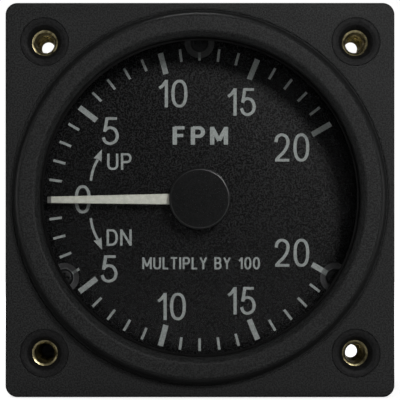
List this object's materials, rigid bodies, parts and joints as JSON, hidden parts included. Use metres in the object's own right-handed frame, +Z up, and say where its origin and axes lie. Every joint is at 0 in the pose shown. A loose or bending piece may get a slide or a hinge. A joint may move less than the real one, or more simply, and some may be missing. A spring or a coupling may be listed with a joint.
{
  "type": "vertical speed indicator",
  "caption": "Round-dial climb and descent indicator with a square flange, a capsule movement inside and a static port behind.",
  "frame": {"origin": "where the dial's axis meets the panel face of the flange, which is also the centre of the four screw holes", "axes": "+Z up, +X right as seen from the front, +Y into the panel along the dial's axis, so the dial faces -Y"},
  "size_m": [0.0588, 0.083, 0.0597],
  "materials": {
    "bezel_black": "satin moulded black with a fine grain",
    "case_black": "satin black coating",
    "insert_brass": "machined, slightly dull",
    "window_glass": "clear polished",
    "seal_rubber": "matt black rubber",
    "ring_black": "matt black",
    "dial_black": "matt black print with white scale",
    "screw_black": "black oxide",
    "screw_steel": "turned steel",
    "movement_brass": "fine brushed",
    "arbor_steel": "polished",
    "pointer_white": "matt cream white",
    "hub_black": "satin black",
    "capsule_bronze": "rolled bronze",
    "fitting_aluminium": "turned and anodised",
    "hose_rubber": "matt black"
  },
  "bodies": {
    "case": {"front_bezel": "bezel_black", "mounting_inserts": "insert_brass", "window_gasket": "seal_rubber", "window_glass": "window_glass", "window_retaining_ring": "ring_black", "dial_plate": "dial_black", "dial_screws": "screw_black", "mounting_plate": "movement_brass", "plate_screws": "screw_steel", "movement_pillars": "movement_brass", "pillar_studs": "screw_steel", "movement_rear_plate": "movement_brass", "bridge_pillars": "movement_brass", "capsule_bridge": "movement_brass", "bridge_screws": "screw_steel", "pointer_front_bush": "capsule_bronze", "sector_front_bush": "capsule_bronze", "pointer_rear_bush": "capsule_bronze", "sector_rear_bush": "capsule_bronze", "hairspring": "capsule_bronze", "zero_adjust_plug": "case_black", "zero_lever_stud": "arbor_steel", "rocker_pivot_screws": "screw_steel", "rocker_lock_nuts": "movement_brass", "capsule_front_disc": "capsule_bronze", "capsule_rear_disc": "capsule_bronze", "capsule_stem": "movement_brass", "capsule_nut": "screw_steel", "manifold_block": "movement_brass", "metering_unit": "screw_steel", "static_hose": "hose_rubber", "case_barrel": "case_black", "case_seal": "seal_rubber", "case_screws": "screw_black", "rear_cover": "case_black", "rear_cover_seal": "seal_rubber", "rear_cover_screws": "screw_steel", "static_port_fitting": "fitting_aluminium"},
    "pointer": {"pointer_arbor": "arbor_steel", "pointer_pinion": "arbor_steel", "pointer_blade": "pointer_white", "pointer_hub_cap": "hub_black", "pointer_bush": "movement_brass", "hairspring_collet": "movement_brass"},
    "sector": {"sector_gear": "movement_brass", "sector_arbor": "arbor_steel", "sector_tail": "movement_brass"},
    "rocker": {"rocking_shaft": "arbor_steel", "rocker_input_arm": "movement_brass", "rocker_output_arm": "movement_brass"},
    "capsule_centre": {"capsule_stud": "movement_brass", "capsule_link": "movement_brass"},
    "zero_adjuster": {"zero_adjust_screw": "arbor_steel", "zero_adjust_seal": "seal_rubber"},
    "zero_lever": {"zero_lever": "movement_brass"},
    "regulator": {"hairspring_regulator": "movement_brass"}
  },
  "joints": [
    {"name": "sector_turn", "type": "hinge", "parent": "case", "child": "sector", "pos_m": [0, 0.0177, -0.01452], "axis": [0, 1, 0], "range_deg": [-15.5, 15.5], "stiffness_Nm_per_rad": 0.0033},
    {"name": "pointer_turn", "type": "hinge", "parent": "case", "child": "pointer", "pos_m": [0, 0.0177, 0], "axis": [0, 1, 0], "range_deg": [-155.5, 155.5], "deforming": ["hairspring"]},
    {"name": "rocker_turn", "type": "hinge", "parent": "case", "child": "rocker", "pos_m": [0, 0.03, -0.01373], "axis": [1, 0, 0], "range_deg": [-7.5, 7.5]},
    {"name": "capsule_slide", "type": "slide", "parent": "case", "child": "capsule_centre", "axis": [0, 1, 0], "range_m": [-0.0014, 0.0014], "deforming": ["capsule_front_disc"]},
    {"name": "zero_adjuster_turn", "type": "hinge", "parent": "case", "child": "zero_adjuster", "pos_m": [-0.02357, 0.014, -0.02357], "axis": [0, 1, 0], "range_deg": [-45.5, 45.5]},
    {"name": "zero_lever_turn", "type": "hinge", "parent": "case", "child": "zero_lever", "pos_m": [-0.01414, 0.0143, -0.01414], "axis": [0, 1, 0], "range_deg": [-2.24, 2.24]},
    {"name": "regulator_turn", "type": "hinge", "parent": "case", "child": "regulator", "pos_m": [0, 0.0107, 0], "axis": [0, 1, 0], "range_deg": [-3, 3]}
  ],
  "couplings": [
    {"joint": "pointer_turn", "follows": "sector_turn", "ratio": -10},
    {"joint": "rocker_turn", "follows": "sector_turn", "ratio": 0.46939},
    {"joint": "capsule_slide", "follows": "sector_turn", "m_per_rad": -0.0049286},
    {"joint": "zero_adjuster_turn", "follows": "zero_lever_turn", "ratio": -20.064},
    {"joint": "regulator_turn", "follows": "zero_lever_turn", "ratio": -1.2222}
  ]
}
